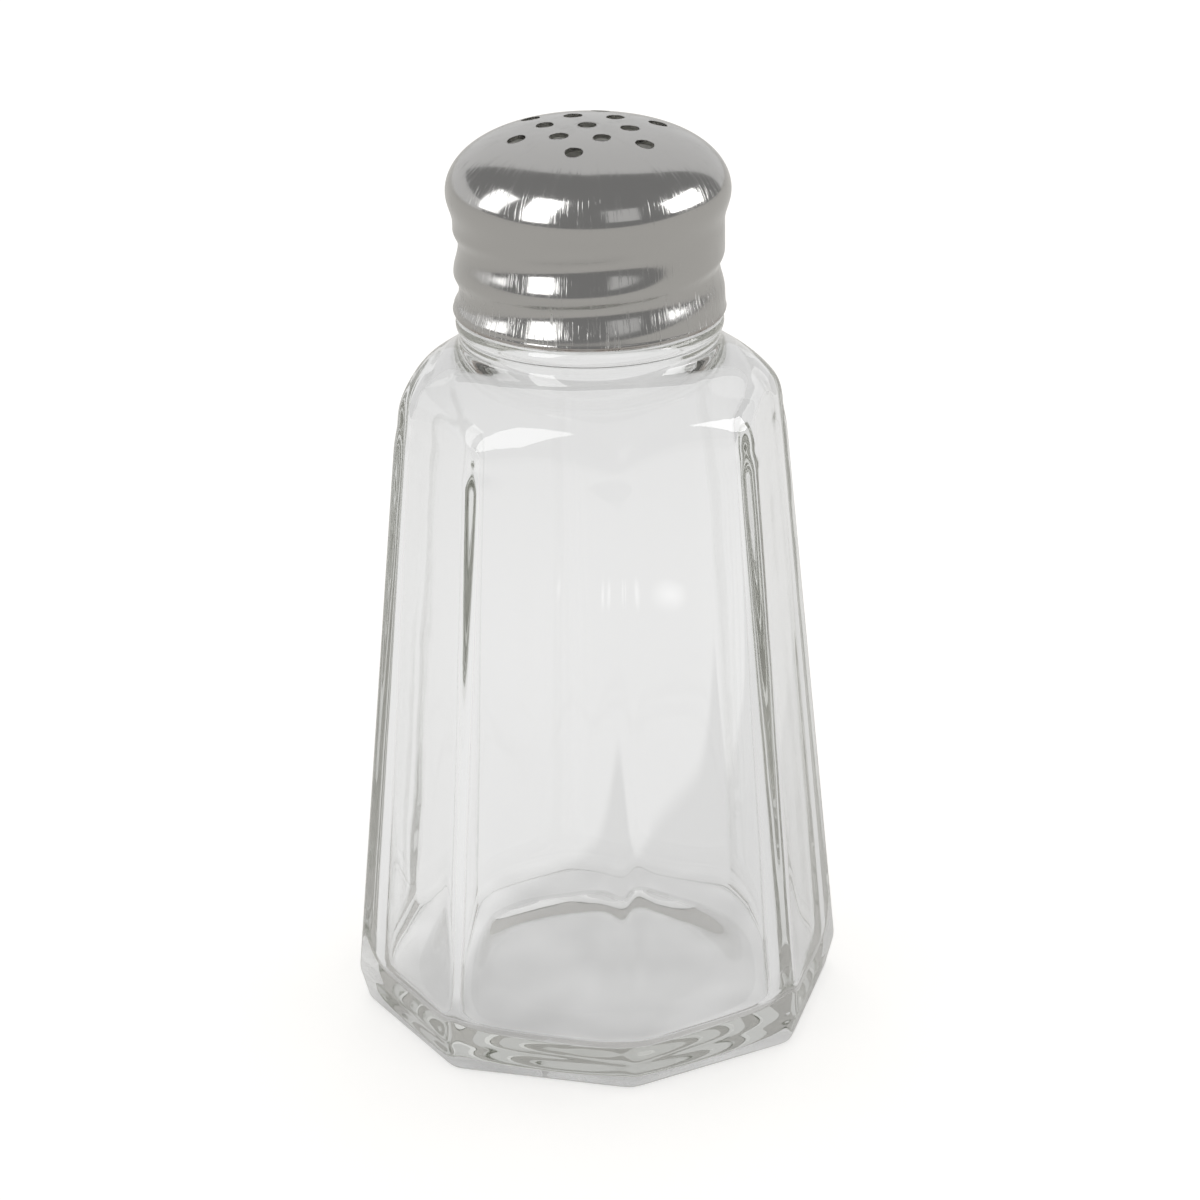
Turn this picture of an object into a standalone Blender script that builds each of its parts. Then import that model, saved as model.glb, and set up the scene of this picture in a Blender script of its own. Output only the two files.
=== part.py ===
"""Table salt shaker: an eight-panelled glass jar and a pressed metal screw cap.

The jar stands on its base with the origin at the middle of the floor and +Z up.
Two panels face +X and -X and two face +Y and -Y.  All sizes are in metres.
"""
import math

import bmesh
import bpy
from mathutils import Vector

MM = 0.001

# Jar, outside
PANEL_COUNT = 8
BASE_FLATS = 51.1 * MM          # across opposite panels at the top of the heel
TOP_FLATS = 39.85 * MM          # across opposite panels where the shoulder starts
EDGE_RADIUS = 1.8 * MM          # rounding of the upright edges between panels
HEEL_HEIGHT = 3.9 * MM
HEEL_INSET = 0.8 * MM           # how far the heel draws in below the panels
FOOT_RADIUS = 0.8 * MM          # rounding of the edge that meets the table
SHOULDER_FOOT = 69.7 * MM       # height where the domed shoulder starts
SHOULDER_MARGIN = 0.5 * MM      # dome's foot outside the panels' edges
SHOULDER_RISE = 7.35 * MM       # from its foot to where the dome meets the neck's root
SHOULDER_FULLNESS = 1.85        # 2 is a parabola, less is flatter
SHOULDER_SOFTNESS = 1.1 * MM    # width of the soft edge between panels and shoulder
SHOULDER_FILLET = 3.0 * MM      # width of the soft corner between shoulder and neck
ROOT_HEIGHT = 2.15 * MM         # upright root between shoulder and collar
COLLAR_HEIGHT = 1.6 * MM        # bead of glass under the cap
COLLAR_SETBACK = 0.1 * MM       # collar's edge inside the cap's rim
COLLAR_GROOVE = 0.4 * MM        # root under the collar inside the collar's edge
NECK_DIAMETER = 26.0 * MM
NECK_HEIGHT = 10.4 * MM
LIP_RADIUS = 0.9 * MM           # rounding of the pouring lip
THREAD_HEIGHT = 0.3 * MM        # raised thread on the neck
THREAD_WIDTH = 2.2 * MM
THREAD_TURNS = 1.3
THREAD_FADE = 0.1               # turns over which each end of the thread rises
THREAD_START_HEIGHT = 2.2 * MM  # above the collar

# Jar, inside and underneath
BORE_DIAMETER = 20.0 * MM
WALL_AT_BASE = 3.0 * MM
WALL_AT_TOP = 2.6 * MM
INNER_SHOULDER_DROP = 1.0 * MM  # the cavity's own dome starts this much lower
FLOOR_THICKNESS = 3.6 * MM
FLOOR_CORNER = 2.6 * MM         # rounding between the cavity's floor and its walls
INNER_EDGE_RADIUS = 2.8 * MM    # rounding of the cavity's own upright edges
PUSH_UP = 0.8 * MM              # hollow in the middle of the underside
BEARING_WIDTH = 5.0 * MM        # flat ring that stands on the table
PUSH_UP_SLOPE = 2.4 * MM        # width of the ramp from that ring to the hollow

# Cap
SHEET = 0.45 * MM               # metal thickness
THREAD_CLEARANCE = 0.3 * MM     # glass thread to the inside of the rolled groove
GROOVE_DEPTH = 0.55 * MM
GROOVE_BELOW = 3.1 * MM         # long flank under the groove's deepest line
GROOVE_ABOVE = 1.75 * MM        # short flank over it
GROOVE_PITCH = 4.85 * MM        # the glass thread climbs at the same pitch
GROOVE_TURNS = 1.78
GROOVE_LEAD_IN = 0.28           # turns over which the groove deepens
GROOVE_LEAD_OUT = 0.16          # turns over which it fades out again
GROOVE_START_HEIGHT = 1.05 * MM  # above the rim
GROOVE_START_ANGLE = math.radians(65.0)
UNDERCUT_HEIGHT = 3.4 * MM      # widest line down to the straight wall
DOME_OVERHANG = 0.7 * MM        # widest line outside the straight wall
DOME_HEIGHT = 7.0 * MM          # widest line up to the crown
DOME_FULLNESS = 2.6             # 2 is an ellipse, more is squarer
RIM_FLARE = 0.15 * MM           # rim outside the straight wall
FLARE_HEIGHT = 2.5 * MM
HEM_HEIGHT = 1.2 * MM           # folded edge at the rim
HEM_THICKNESS = 0.9 * MM
SEAT_GAP = 0.3 * MM             # rim to collar when the cap is screwed down

# Shaker holes: one in the middle, six around it and six outer points
HOLE_DIAMETER = 2.0 * MM
HOLE_SPACING = 4.6 * MM
HOLE_TURN = math.radians(4.4)
HOLE_SIDES = 14
HOLE_CUT_MARGIN = 2.0 * MM

# Mesh fineness
FLAT_STEPS = 4                  # columns across a panel's flat
EDGE_STEPS = 2                  # columns from a flat to the middle of an edge
CAP_COLUMNS = 48
PANEL_ROWS = 4
SHOULDER_ROWS = 12
DOME_ROWS = 9
UNDERCUT_ROWS = 4
WALL_ROWS = 16
FLOOR_ROWS = 5
NECK_ROWS = 10
LIP_ROWS = 3
SMOOTH_ANGLE = math.radians(35.0)

# Fits and heights that follow from the sizes above
HALF_PANEL = math.pi / PANEL_COUNT
NECK_RADIUS = NECK_DIAMETER / 2
BORE_RADIUS = BORE_DIAMETER / 2
CAP_WALL_RADIUS = NECK_RADIUS + THREAD_HEIGHT + THREAD_CLEARANCE + SHEET + GROOVE_DEPTH
DOME_RADIUS = CAP_WALL_RADIUS + DOME_OVERHANG
RIM_RADIUS = CAP_WALL_RADIUS + RIM_FLARE
COLLAR_RADIUS = CAP_WALL_RADIUS - COLLAR_SETBACK
ROOT_RADIUS = COLLAR_RADIUS - COLLAR_GROOVE
SHOULDER_TOP = SHOULDER_FOOT + SHOULDER_RISE + ROOT_HEIGHT
COLLAR_TOP = SHOULDER_TOP + COLLAR_HEIGHT
LIP_TOP = COLLAR_TOP + NECK_HEIGHT
RIM_HEIGHT = COLLAR_TOP + SEAT_GAP
SKIRT_HEIGHT = LIP_TOP - RIM_HEIGHT + UNDERCUT_HEIGHT  # rim to the dome's widest line, straight up to the lip
PANEL_LEAN = (BASE_FLATS - TOP_FLATS) / 2 / (SHOULDER_FOOT - HEEL_HEIGHT)
INNER_FOOT = SHOULDER_FOOT - INNER_SHOULDER_DROP
BORE_FOOT = INNER_FOOT + SHOULDER_RISE


def smooth_min(a, b, softness):
    """Smaller of two sizes, with a soft corner where they cross."""
    share = max(softness - abs(a - b), 0.0) / softness
    return min(a, b) - share * share * softness / 4


def smooth_max(a, b, softness):
    """Larger of two sizes, with a soft corner where they cross."""
    return -smooth_min(-a, -b, softness)


def ease(share):
    """Go from 0 to 1 with no corner at either end."""
    share = min(max(share, 0.0), 1.0)
    return share * share * (3 - 2 * share)


def panel_radius(angle, half_flats, edge_radius):
    """Distance from the axis to a panelled outline with rounded edges."""
    off = (angle + HALF_PANEL) % (2 * HALF_PANEL) - HALF_PANEL
    edge = min(edge_radius, half_flats)
    tangent = math.atan2((half_flats - edge) * math.tan(HALF_PANEL), half_flats)
    if abs(off) <= tangent:
        return half_flats / math.cos(off)
    centre = (half_flats - edge) / math.cos(HALF_PANEL)
    turn = HALF_PANEL - abs(off)
    return centre * math.cos(turn) + math.sqrt(max(edge**2 - (centre * math.sin(turn))**2, 0.0))


def half_flats_at(height):
    """Half the size across the outside panels at a height."""
    return BASE_FLATS / 2 - PANEL_LEAN * (height - HEEL_HEIGHT)


SHOULDER_RADIUS = panel_radius(HALF_PANEL, half_flats_at(SHOULDER_FOOT), EDGE_RADIUS) + SHOULDER_MARGIN


def shoulder_radius(height, foot, foot_radius, neck_radius):
    """Radius of a dome that turns in from its foot and flares into a neck."""
    share = (height - foot) / SHOULDER_RISE
    turned_in = math.copysign(abs(share)**SHOULDER_FULLNESS, share)
    dome = foot_radius - (foot_radius - neck_radius) * turned_in
    return smooth_max(dome, neck_radius, SHOULDER_FILLET)


def outside_radius(angle, height):
    """Outside of the jar from the heel up to the collar."""
    panels = panel_radius(angle, half_flats_at(height), EDGE_RADIUS)
    dome = shoulder_radius(height, SHOULDER_FOOT, SHOULDER_RADIUS, ROOT_RADIUS)
    return smooth_min(panels, dome, SHOULDER_SOFTNESS)


def inside_half_flats(height):
    """Half the size across the cavity's walls at a height."""
    share = (height - HEEL_HEIGHT) / (SHOULDER_FOOT - HEEL_HEIGHT)
    wall = WALL_AT_BASE + (WALL_AT_TOP - WALL_AT_BASE) * share
    return half_flats_at(height) - wall


def inside_radius(angle, height):
    """Inside of the jar from the floor's corner up to the bore."""
    walls = panel_radius(angle, inside_half_flats(height), INNER_EDGE_RADIUS)
    dome = shoulder_radius(height, INNER_FOOT, SHOULDER_RADIUS - WALL_AT_TOP, BORE_RADIUS)
    return smooth_min(walls, dome, SHOULDER_SOFTNESS)


def jar_columns():
    """Angles of the jar's upright rows of points, closer at the edges."""
    tangent = math.atan((1 - 2 * EDGE_RADIUS / BASE_FLATS) * math.tan(HALF_PANEL))
    offsets = [-tangent + 2 * tangent * i / FLAT_STEPS for i in range(FLAT_STEPS + 1)]
    turn = 2 * (HALF_PANEL - tangent) / (2 * EDGE_STEPS)
    offsets += [tangent + turn * (i + 1) for i in range(2 * EDGE_STEPS - 1)]
    return [2 * HALF_PANEL * panel + off for panel in range(PANEL_COUNT) for off in offsets]


def level(low, high, steps):
    """Evenly spaced values from low to high, both included."""
    return [low + (high - low) * i / steps for i in range(steps + 1)]


def make_mesh(name, columns, rows):
    """Loft closed rings of points; a row with one radius of 0 is a pole."""
    bm = bmesh.new()
    rings = []
    for radius_at, height in rows:
        if radius_at is None:
            rings.append([bm.verts.new((0, 0, height))])
            continue
        ring = []
        for angle in columns:
            radius = radius_at(angle)
            ring.append(bm.verts.new((radius * math.cos(angle), radius * math.sin(angle), height)))
        rings.append(ring)
    count = len(columns)
    for lower, upper in zip(rings, rings[1:]):
        for i in range(count):
            j = (i + 1) % count
            corners = [lower[i % len(lower)], lower[j % len(lower)], upper[j % len(upper)], upper[i % len(upper)]]
            bm.faces.new(list(dict.fromkeys(corners)))
    mesh = bpy.data.meshes.new(name)
    bm.to_mesh(mesh)
    bm.free()
    mesh.shade_smooth()
    mesh.set_sharp_from_angle(angle=SMOOTH_ANGLE)
    return mesh


def round_row(radius, height):
    """A row with the same radius all round."""
    return (lambda angle: radius), height


def add_object(name, mesh, material=None, location=(0, 0, 0)):
    """Put a mesh into the scene."""
    thing = bpy.data.objects.new(name, mesh)
    thing.location = location
    bpy.context.scene.collection.objects.link(thing)
    if material:
        mesh.materials.append(material)
    return thing


def make_material(name, colour, roughness, metallic, transmission=0.0):
    """A plain finish."""
    material = bpy.data.materials.new(name)
    material.use_nodes = True
    shader = material.node_tree.nodes["Principled BSDF"]
    shader.inputs["Base Color"].default_value = (*colour, 1.0)
    shader.inputs["Roughness"].default_value = roughness
    shader.inputs["Metallic"].default_value = metallic
    shader.inputs["Transmission Weight"].default_value = transmission
    return material


def underside_rows():
    """Hollow middle of the base, then the flat ring that stands on the table."""
    inner = half_flats_at(HEEL_HEIGHT) - HEEL_INSET - FOOT_RADIUS - BEARING_WIDTH
    rows = [(None, PUSH_UP)]
    rows.append(round_row(inner - PUSH_UP_SLOPE, PUSH_UP))
    rows.append(round_row(inner - PUSH_UP_SLOPE / 2, PUSH_UP / 2))
    rows.append(round_row(inner, 0.0))
    return rows


def heel_rows():
    """Rounded foot and the heel that widens up to the panels."""
    rows = []
    for turn in level(0.0, math.pi / 2, 3):
        height = FOOT_RADIUS * (1 - math.cos(turn))
        drawn_in = HEEL_INSET * (1 - height / HEEL_HEIGHT) + FOOT_RADIUS * (1 - math.sin(turn))
        rows.append(inset_row(drawn_in, height))
    rows.append(inset_row(0.0, HEEL_HEIGHT))
    return rows


def inset_row(drawn_in, height):
    """A panelled row drawn in from the panels' size at the heel."""
    flats = BASE_FLATS / 2 - drawn_in
    return (lambda angle: panel_radius(angle, flats, EDGE_RADIUS)), height


def outside_rows():
    """Panels and shoulder."""
    heights = level(HEEL_HEIGHT, SHOULDER_FOOT, PANEL_ROWS)[1:]
    heights += level(SHOULDER_FOOT, SHOULDER_TOP, SHOULDER_ROWS)[1:]
    return [((lambda angle, z=z: outside_radius(angle, z)), z) for z in heights]


def thread_radius(angle, height):
    """Outside of the neck with its raised thread, with height counted from the collar."""
    rise = 0.0
    turn = (angle / (2 * math.pi)) % 1.0
    while turn < THREAD_TURNS:
        fade = ease(turn / THREAD_FADE) * ease((THREAD_TURNS - turn) / THREAD_FADE)
        off = abs(height - THREAD_START_HEIGHT - GROOVE_PITCH * turn) / THREAD_WIDTH
        if off < 0.5:
            rise = max(rise, THREAD_HEIGHT * fade * math.cos(math.pi * off)**2)
        turn += 1.0
    return NECK_RADIUS + rise


def neck_rows():
    """Collar bead, threaded neck and rounded lip, then down the bore."""
    bead = COLLAR_HEIGHT / 2
    rows = []
    for turn in level(-math.pi / 2, math.pi / 2, 4)[1:]:
        radius = COLLAR_RADIUS - COLLAR_GROOVE * (1 - math.cos(turn))
        rows.append(round_row(radius, SHOULDER_TOP + bead + bead * math.sin(turn)))
    for height in level(0.0, NECK_HEIGHT - LIP_RADIUS, NECK_ROWS):
        rows.append(((lambda angle, z=height: thread_radius(angle, z)), COLLAR_TOP + height))
    for turn in level(0.0, math.pi / 2, LIP_ROWS)[1:]:
        radius = NECK_RADIUS - LIP_RADIUS * (1 - math.cos(turn))
        rows.append(round_row(radius, LIP_TOP - LIP_RADIUS * (1 - math.sin(turn))))
    for turn in level(math.pi / 2, 0.0, LIP_ROWS):
        radius = BORE_RADIUS + LIP_RADIUS * (1 - math.cos(turn))
        rows.append(round_row(radius, LIP_TOP - LIP_RADIUS * (1 - math.sin(turn))))
    return rows


def cavity_rows():
    """Bore, inner shoulder, inner walls and the rounded floor."""
    corner_top = FLOOR_THICKNESS + FLOOR_CORNER
    heights = level(BORE_FOOT + SHOULDER_FILLET / 2, INNER_FOOT, SHOULDER_ROWS)
    heights += level(INNER_FOOT, corner_top, PANEL_ROWS)[1:]
    rows = [((lambda angle, z=z: inside_radius(angle, z)), z) for z in heights]
    for turn in level(0.0, math.pi / 2, FLOOR_ROWS)[1:]:
        height = corner_top - FLOOR_CORNER * math.sin(turn)
        flats = inside_half_flats(corner_top) - FLOOR_CORNER * (1 - math.cos(turn))
        rows.append(((lambda angle, f=flats: panel_radius(angle, f, INNER_EDGE_RADIUS)), height))
    rows.append((None, FLOOR_THICKNESS))
    return rows


def make_jar():
    """Glass jar as one closed loft, from under the base to the cavity's floor."""
    rows = underside_rows() + heel_rows() + outside_rows() + neck_rows() + cavity_rows()
    mesh = make_mesh("glass_jar", jar_columns(), rows)
    glass = make_material("soda_lime_glass", (0.93, 0.95, 0.94), 0.02, 0.0, 1.0)
    return add_object("glass_jar", mesh, glass)


def groove_depth(angle, height):
    """Depth of the rolled thread groove, with height counted from the rim."""
    depth = 0.0
    turn = ((angle - GROOVE_START_ANGLE) / (2 * math.pi)) % 1.0
    while turn < GROOVE_TURNS:
        fade = ease(turn / GROOVE_LEAD_IN) * ease((GROOVE_TURNS - turn) / GROOVE_LEAD_OUT)
        off = height - GROOVE_START_HEIGHT - GROOVE_PITCH * turn
        off /= GROOVE_ABOVE if off > 0 else GROOVE_BELOW
        if abs(off) < 1:
            depth += GROOVE_DEPTH * fade * math.cos(math.pi / 2 * off)**2
        turn += 1.0
    return min(depth, GROOVE_DEPTH) * ease((height - HEM_HEIGHT / 2) / HEM_HEIGHT)


def cap_profile():
    """Outer side of the cap from rim to crown, as radius, height and outward slope."""
    points = []
    straight_top = SKIRT_HEIGHT - UNDERCUT_HEIGHT
    for height in level(HEM_HEIGHT / 2, straight_top, WALL_ROWS):
        flare = RIM_FLARE * max(1 - height / FLARE_HEIGHT, 0.0)**2
        points.append((CAP_WALL_RADIUS + flare, height))
    for share in level(0.0, 1.0, UNDERCUT_ROWS)[1:]:
        radius = CAP_WALL_RADIUS + DOME_OVERHANG * (1 - math.cos(math.pi * share)) / 2
        points.append((radius, straight_top + UNDERCUT_HEIGHT * share))
    for turn in level(math.pi / 2, 0.0, DOME_ROWS)[1:-1]:
        radius = DOME_RADIUS * math.sin(turn)**(2 / DOME_FULLNESS)
        points.append((radius, SKIRT_HEIGHT + DOME_HEIGHT * math.cos(turn)))
    return points


def inward(points, distance):
    """Points moved inwards, square to the line through their neighbours."""
    moved = []
    for i, (radius, height) in enumerate(points):
        before = points[max(i - 1, 0)]
        after = points[min(i + 1, len(points) - 1)]
        run = after[0] - before[0]
        rise = after[1] - before[1]
        length = math.hypot(run, rise)
        moved.append((radius - distance * rise / length, height + distance * run / length))
    return moved


def grooved_row(radius, height, groove_height):
    """A cap row that follows the groove."""
    return (lambda angle: radius - groove_depth(angle, groove_height)), height


def make_cap():
    """Pressed cap: crown from inside, skirt, folded rim, then the outer side."""
    outer = cap_profile()
    inner = inward(outer, SHEET)
    crown = SKIRT_HEIGHT + DOME_HEIGHT
    rows = [(None, crown - SHEET)]
    for (radius, height), (_, groove_height) in reversed(list(zip(inner, outer))):
        if groove_height > HEM_HEIGHT:
            rows.append(grooved_row(radius, height, groove_height))
    hem = HEM_THICKNESS / 2
    hem_middle = RIM_RADIUS - hem
    rows.append(round_row(RIM_RADIUS - HEM_THICKNESS, HEM_HEIGHT))
    for turn in level(-math.pi / 2, math.pi / 2, 4):
        rows.append(round_row(hem_middle + hem * math.sin(turn), hem * (1 - math.cos(turn))))
    for radius, height in outer:
        if height > hem:
            rows.append(grooved_row(radius, height, height))
    rows.append((None, crown))
    columns = [2 * math.pi * i / CAP_COLUMNS for i in range(CAP_COLUMNS)]
    mesh = make_mesh("screw_cap", columns, rows)
    metal = make_material("chromed_steel", (0.62, 0.61, 0.59), 0.16, 1.0)
    cap = add_object("screw_cap", mesh, metal, (0, 0, RIM_HEIGHT))
    holes = cap.modifiers.new("shaker_holes", "BOOLEAN")
    holes.object = make_hole_cutter()
    holes.solver = "EXACT"
    return cap


def hole_places():
    """Six-pointed star of holes around the middle one."""
    places = [Vector((0, 0))]
    for i in range(6):
        inner = HOLE_TURN + i * math.pi / 3
        outer = inner + math.pi / 6
        places.append(HOLE_SPACING * Vector((math.cos(inner), math.sin(inner))))
        places.append(HOLE_SPACING * math.sqrt(3) * Vector((math.cos(outer), math.sin(outer))))
    return places


def make_hole_cutter():
    """Upright punches through the dome, left out of the finished object."""
    bm = bmesh.new()
    depth = DOME_HEIGHT + 2 * HOLE_CUT_MARGIN
    middle = RIM_HEIGHT + SKIRT_HEIGHT + DOME_HEIGHT / 2
    for place in hole_places():
        punch = bmesh.ops.create_cone(
            bm, cap_ends=True, segments=HOLE_SIDES, radius1=HOLE_DIAMETER / 2,
            radius2=HOLE_DIAMETER / 2, depth=depth)
        bmesh.ops.translate(bm, verts=punch["verts"], vec=(place.x, place.y, middle))
    mesh = bpy.data.meshes.new("hole_punches")
    bm.to_mesh(mesh)
    bm.free()
    cutter = add_object("hole_punches", mesh)
    cutter.hide_render = True
    cutter.display_type = "WIRE"
    return cutter


def main():
    """Build the shaker."""
    for thing in list(bpy.data.objects):
        bpy.data.objects.remove(thing, do_unlink=True)
    make_jar()
    make_cap()


main()
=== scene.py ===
# %% [markdown]
# # A glass table shaker, built piece by piece
# The real shaker is two pieces: a heavy pressed-glass jar with eight flat panels, and a cap drawn
# from thin sheet metal and plated.  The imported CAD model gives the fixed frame: where each piece
# sits, how big it is and how the cap moves.  This lesson builds a finer jar and cap over that
# frame, gives them their finishes, and sets up a small white studio around them.

# %% Load the frame
import math

import bpy
import numpy as np
from mathutils import Matrix, Vector


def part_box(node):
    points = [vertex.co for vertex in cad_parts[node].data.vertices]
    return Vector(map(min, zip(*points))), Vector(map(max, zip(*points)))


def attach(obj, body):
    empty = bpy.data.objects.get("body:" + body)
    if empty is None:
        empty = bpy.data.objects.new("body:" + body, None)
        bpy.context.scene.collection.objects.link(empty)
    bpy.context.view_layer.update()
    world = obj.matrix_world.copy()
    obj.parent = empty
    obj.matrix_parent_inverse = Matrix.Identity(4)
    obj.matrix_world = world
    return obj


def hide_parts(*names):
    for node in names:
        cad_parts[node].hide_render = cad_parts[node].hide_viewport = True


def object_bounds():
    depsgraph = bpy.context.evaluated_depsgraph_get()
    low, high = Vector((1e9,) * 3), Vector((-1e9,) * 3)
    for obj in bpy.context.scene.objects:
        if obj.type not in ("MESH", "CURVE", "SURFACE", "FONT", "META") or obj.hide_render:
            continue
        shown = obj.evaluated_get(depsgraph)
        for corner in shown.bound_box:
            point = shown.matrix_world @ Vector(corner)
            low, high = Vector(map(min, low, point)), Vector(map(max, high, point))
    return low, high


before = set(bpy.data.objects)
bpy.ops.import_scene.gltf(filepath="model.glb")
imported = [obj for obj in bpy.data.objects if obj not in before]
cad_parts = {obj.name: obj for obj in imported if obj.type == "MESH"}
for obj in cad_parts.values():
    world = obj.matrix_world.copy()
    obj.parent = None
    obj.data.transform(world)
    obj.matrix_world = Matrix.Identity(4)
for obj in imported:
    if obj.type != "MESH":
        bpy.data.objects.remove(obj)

MM = 0.001
cad_low, cad_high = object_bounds()
jar_low, jar_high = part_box("glass_jar")
cap_low, cap_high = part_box("screw_cap")
print("frame box in mm:", [round(side / MM, 2) for side in cad_high - cad_low])

# %% [markdown]
# ## Small tools
# Nearly every cell below adds nodes, for shapes as well as for finishes.  One function can do it
# all: it makes a node, sets its properties, and gives each input either a plain value or a link.
# Colours are written as the sRGB hex values that a paint program shows, and Blender works in linear
# light, so one function converts them.

# %% Node and colour helpers
def add_node(tree, kind, inputs=(), **settings):
    """Add a node, set its properties, and fill its inputs with values or links."""
    node = tree.nodes.new(kind)
    for name, value in settings.items():
        setattr(node, name, value)
    for key, value in dict(inputs).items():
        if isinstance(value, bpy.types.Node):
            value = value.outputs[0]
        if isinstance(value, bpy.types.NodeSocket):
            tree.links.new(value, node.inputs[key])
        else:
            node.inputs[key].default_value = value
    return node


def colour(hex_code):
    """Turn an sRGB hex code into linear red, green, blue and alpha."""
    shares = [int(hex_code[i:i + 2], 16) / 255 for i in (1, 3, 5)]
    return [c / 12.92 if c <= 0.04045 else ((c + 0.055) / 1.055)**2.4 for c in shares] + [1.0]


print("mid grey in linear light:", [round(c, 3) for c in colour("#808080")])

# %% [markdown]
# ## The camera
# A product photograph is taken from a little above and from some way off, with a long lens, so
# upright edges stay nearly parallel.  The camera circles the shaker's axis: it is placed by an
# angle round the object, an angle above the table and a distance, and aimed at a point on the axis.
# The picture leans a touch, as if the camera were not quite level, so the camera rolls by the same
# small angle.

# %% Camera at the photograph's angle
CAMERA_AZIMUTH = math.radians(14.81)
CAMERA_ELEVATION = math.radians(22.30)
CAMERA_DISTANCE = 475.0 * MM
CAMERA_LENS = 128.57            # millimetres, as is the sensor
SENSOR_WIDTH = 36.0
CAMERA_ROLL = math.radians(-0.755)
NEAREST_SEEN = 10 * MM
AIM_HEIGHT = 47.13 * MM
AIM_ASIDE = 0.69 * MM


def direction(azimuth, elevation):
    """Unit vector from the object towards a place around it; azimuth 0 is in front, along -Y."""
    flat = math.cos(elevation)
    return Vector((math.sin(azimuth) * flat, -math.cos(azimuth) * flat, math.sin(elevation)))


across = Vector((math.cos(CAMERA_AZIMUTH), math.sin(CAMERA_AZIMUTH), 0))
aim = across * AIM_ASIDE
aim.z = AIM_HEIGHT
back = direction(CAMERA_AZIMUTH, CAMERA_ELEVATION)
camera = bpy.data.objects.new("camera", bpy.data.cameras.new("camera"))
camera.data.lens = CAMERA_LENS
camera.data.sensor_width = SENSOR_WIDTH
camera.data.clip_start = NEAREST_SEEN
camera.location = aim + back * CAMERA_DISTANCE
camera.rotation_euler = ((-back).to_track_quat("-Z", "Y").to_matrix()
                         @ Matrix.Rotation(CAMERA_ROLL, 3, "Z")).to_euler()
bpy.context.scene.collection.objects.link(camera)
bpy.context.scene.camera = camera
print("camera at, in mm:", [round(c / MM, 1) for c in camera.location])

# %% [markdown]
# ## The jar: a turned blank
# Pressed glass starts as a hot gob in a mould, with a plunger that forms the hollow.  The jar could
# be sculpted, or cut from a cylinder with Booleans, but glass bends light at both of its faces, so
# the wall has to be one smooth closed skin with even rows.  The blank is therefore a stack of rings
# that runs from under the base, up the outside, over the lip and down into the hollow.  Each ring
# carries three sizes besides its height: how far out the flat panels are there, how crisp the edges
# between them are, and how wide the round shoulder or neck lets it be.

# %% Sizes of the jar's outside, from the frame and the mould
PANELS = 8
HALF_PANEL = math.pi / PANELS
BASE_FLATS = (jar_high.x - jar_low.x) / 2
LIP_TOP = jar_high.z
RIM_HEIGHT = cap_low.z
SEAT_GAP = 0.3 * MM
COLLAR_TOP = RIM_HEIGHT - SEAT_GAP
COLLAR_HEIGHT = 1.6 * MM
SHOULDER_TOP = COLLAR_TOP - COLLAR_HEIGHT
ROOT_HEIGHT = 2.15 * MM
SHOULDER_RISE = 7.35 * MM
SHOULDER_FOOT = SHOULDER_TOP - ROOT_HEIGHT - SHOULDER_RISE
SHOULDER_FULLNESS = 1.85        # 2 is a parabola, less is flatter
SHOULDER_SOFTNESS = 1.8 * MM
SHOULDER_FILLET = 3.0 * MM
SOFT_REACH = 1.5                # a soft corner reaches this many times its size
HEEL_HEIGHT = 3.9 * MM
HEEL_INSET = 0.8 * MM
HEEL_SOFTNESS = 0.25 * MM
FOOT_RADIUS = 0.8 * MM
TOP_FLATS = 19.925 * MM
EDGE_RADIUS = 1.8 * MM
DOME_OVERHANG = 0.7 * MM
CAP_WALL_RADIUS = (cap_high.x - cap_low.x) / 2 - DOME_OVERHANG
COLLAR_INSET = 0.1 * MM
COLLAR_RADIUS = CAP_WALL_RADIUS - COLLAR_INSET
COLLAR_GROOVE = 0.4 * MM
ROOT_RADIUS = COLLAR_RADIUS - COLLAR_GROOVE
CRISPNESS = 75.0                # of the edges outside, the power of a blend: about a 3 mm radius
PUSH_UP = 0.8 * MM              # how far the underside is hollow
BEARING_WIDTH = 5.0 * MM
PUSH_UP_SLOPE = 7.0 * MM
WIDE = 1.0                      # a size that never limits a ring
SHOULDER_MARGIN = 0.5 * MM
SHOULDER_RADIUS = (TOP_FLATS - EDGE_RADIUS) / math.cos(HALF_PANEL) + EDGE_RADIUS + SHOULDER_MARGIN
PANEL_HEIGHT = SHOULDER_FOOT - HEEL_HEIGHT
LEAN = (BASE_FLATS - TOP_FLATS) / PANEL_HEIGHT
print("panels lean in by", round(math.degrees(math.atan(LEAN)), 2), "degrees")


# %% Curves that the rings follow
def soft_min(a, b, softness):
    """Smaller of two sizes, with a soft corner where they cross."""
    share = np.maximum(softness - np.abs(a - b), 0) / softness
    return np.minimum(a, b) - share**3 * softness / 6


def soft_max(a, b, softness):
    """Larger of two sizes, with a soft corner where they cross."""
    return -soft_min(-a, -b, softness)


def arc(start, end, steps):
    """Angles in degrees from start to end, in radians."""
    return np.radians(np.linspace(start, end, steps + 1))


def after(start, end, steps):
    """Even steps from start to end, without the start itself."""
    return np.linspace(start, end, steps + 1)[1:]


def ease(share):
    """Go from 0 to 1 with no corner at either end."""
    share = np.clip(share, 0, 1)
    return share * share * (3 - 2 * share)


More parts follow.
